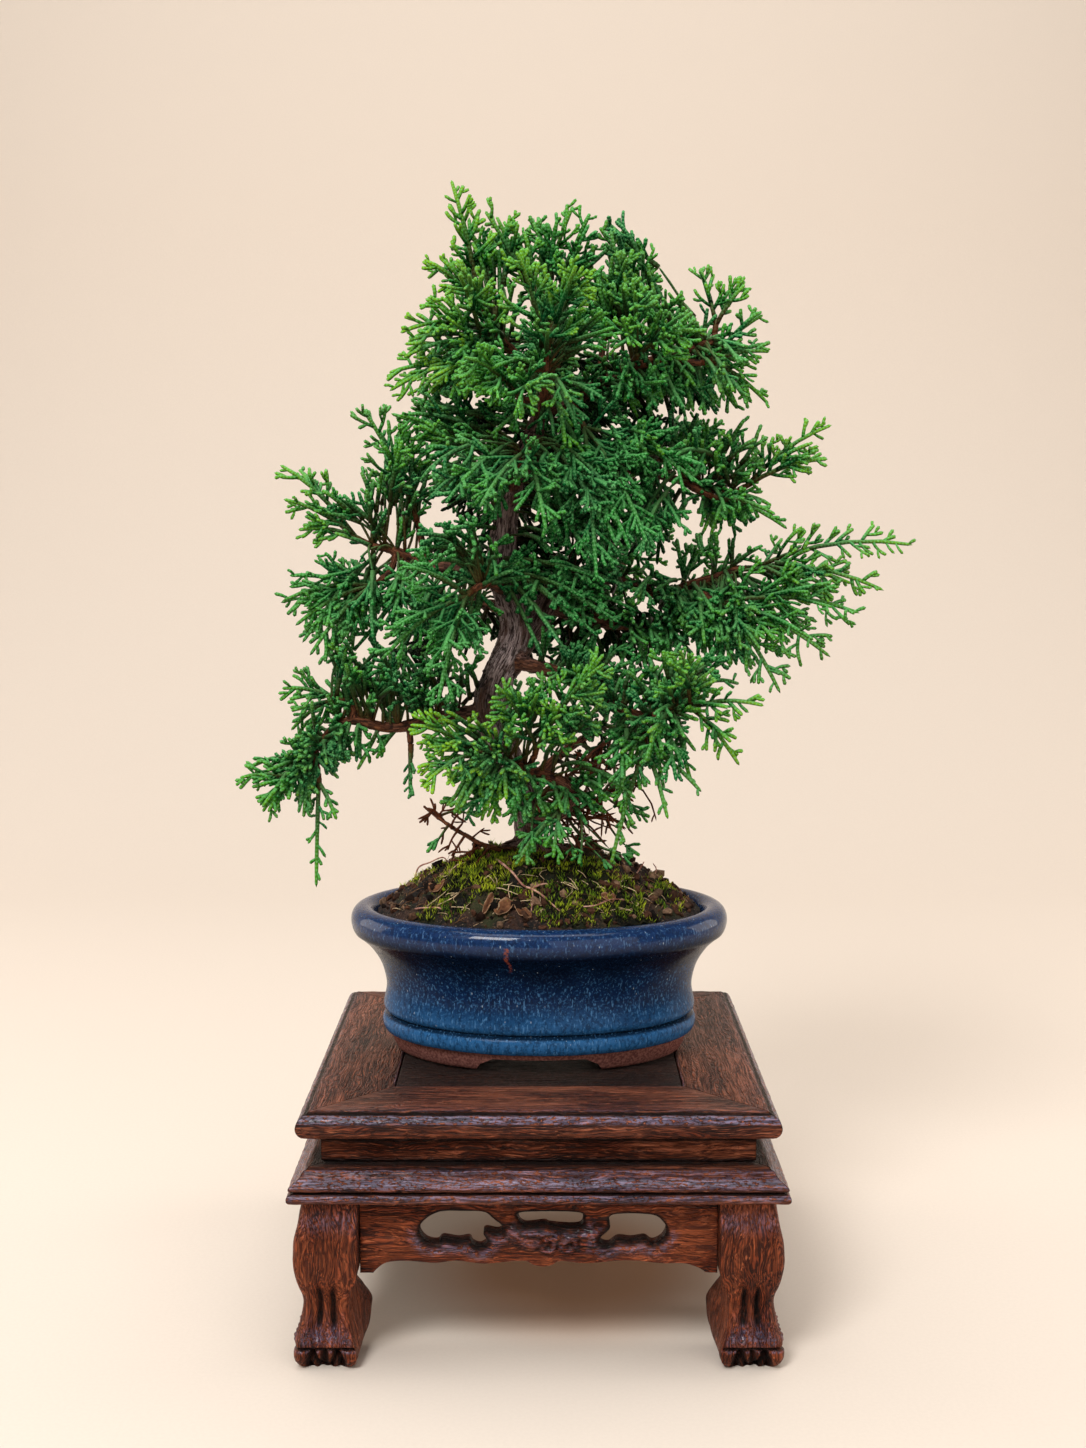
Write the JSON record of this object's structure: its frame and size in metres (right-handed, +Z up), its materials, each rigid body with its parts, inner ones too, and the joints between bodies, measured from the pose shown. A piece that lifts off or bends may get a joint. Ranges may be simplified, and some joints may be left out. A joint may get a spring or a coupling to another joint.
{
  "type": "kishu juniper bonsai",
  "caption": "Small kishu juniper bonsai with scale-leaved foliage sprays, in an oval blue glazed pot on a carved dark wood display stand with paw feet.",
  "frame": {"origin": "middle of the space the whole bonsai takes up, on the surface that the stand's feet rest on", "axes": "+Z up; +X to the right and +Y away from a viewer who faces the bonsai's front"},
  "size_m": [0.2002, 0.1352, 0.3273],
  "materials": {
    "rail_wood": "satin oiled dark wood, open grain",
    "carved_wood": "satin oiled dark wood, carved",
    "glazed_pot": "deep blue speckled gloss glaze over red-brown clay feet",
    "soil": "damp crumbly soil",
    "moss": "soft green moss",
    "bark": "fibrous grey and red-brown bark",
    "foliage": "semi-matt scale foliage, yellow-green at the tips"
  },
  "bodies": {
    "root": {"top_rail_front": "rail_wood", "top_rail_right": "rail_wood", "top_rail_back": "rail_wood", "top_rail_left": "rail_wood", "top_panel": "rail_wood", "waist_board_front": "rail_wood", "waist_board_right": "rail_wood", "waist_board_back": "rail_wood", "waist_board_left": "rail_wood", "moulding_front": "rail_wood", "moulding_right": "rail_wood", "moulding_back": "rail_wood", "moulding_left": "rail_wood", "apron_front": "carved_wood", "apron_right": "carved_wood", "apron_back": "carved_wood", "apron_left": "carved_wood", "leg_front_left": "carved_wood", "leg_front_right": "carved_wood", "leg_back_right": "carved_wood", "leg_back_left": "carved_wood", "pot": "glazed_pot", "spray_top_spire": "foliage", "spray_top_centre": "foliage", "spray_top_right": "foliage", "spray_right_crest": "foliage", "spray_right_shoulder": "foliage", "spray_left_crown": "foliage", "spray_front_crown": "foliage", "spray_front_crown_low": "foliage", "spray_front_right_crown": "foliage", "spray_back_crown": "foliage", "spray_right_plume_high": "foliage", "spray_right_plume_mid": "foliage", "spray_right_back_high": "foliage", "spray_long_right": "foliage", "spray_right_low": "foliage", "spray_right_back": "foliage", "spray_front_right": "foliage", "spray_front_right_hang": "foliage", "spray_low_front": "foliage", "spray_low_front_drop": "foliage", "spray_centre_front": "foliage", "spray_left_plume": "foliage", "spray_left_upper": "foliage", "spray_left_under": "foliage", "spray_left_front_fan": "foliage", "spray_lower_left_top": "foliage", "spray_lower_left_end": "foliage", "spray_lower_left_hang": "foliage", "spray_lower_left_sprig": "foliage", "spray_centre_hang": "foliage", "spray_centre_left": "foliage", "spray_back_high": "foliage", "spray_back_right": "foliage", "spray_back_left": "foliage", "spray_back_low": "foliage", "trunk": "bark", "soil": "soil", "moss_front": "moss"}
  },
  "joints": []
}
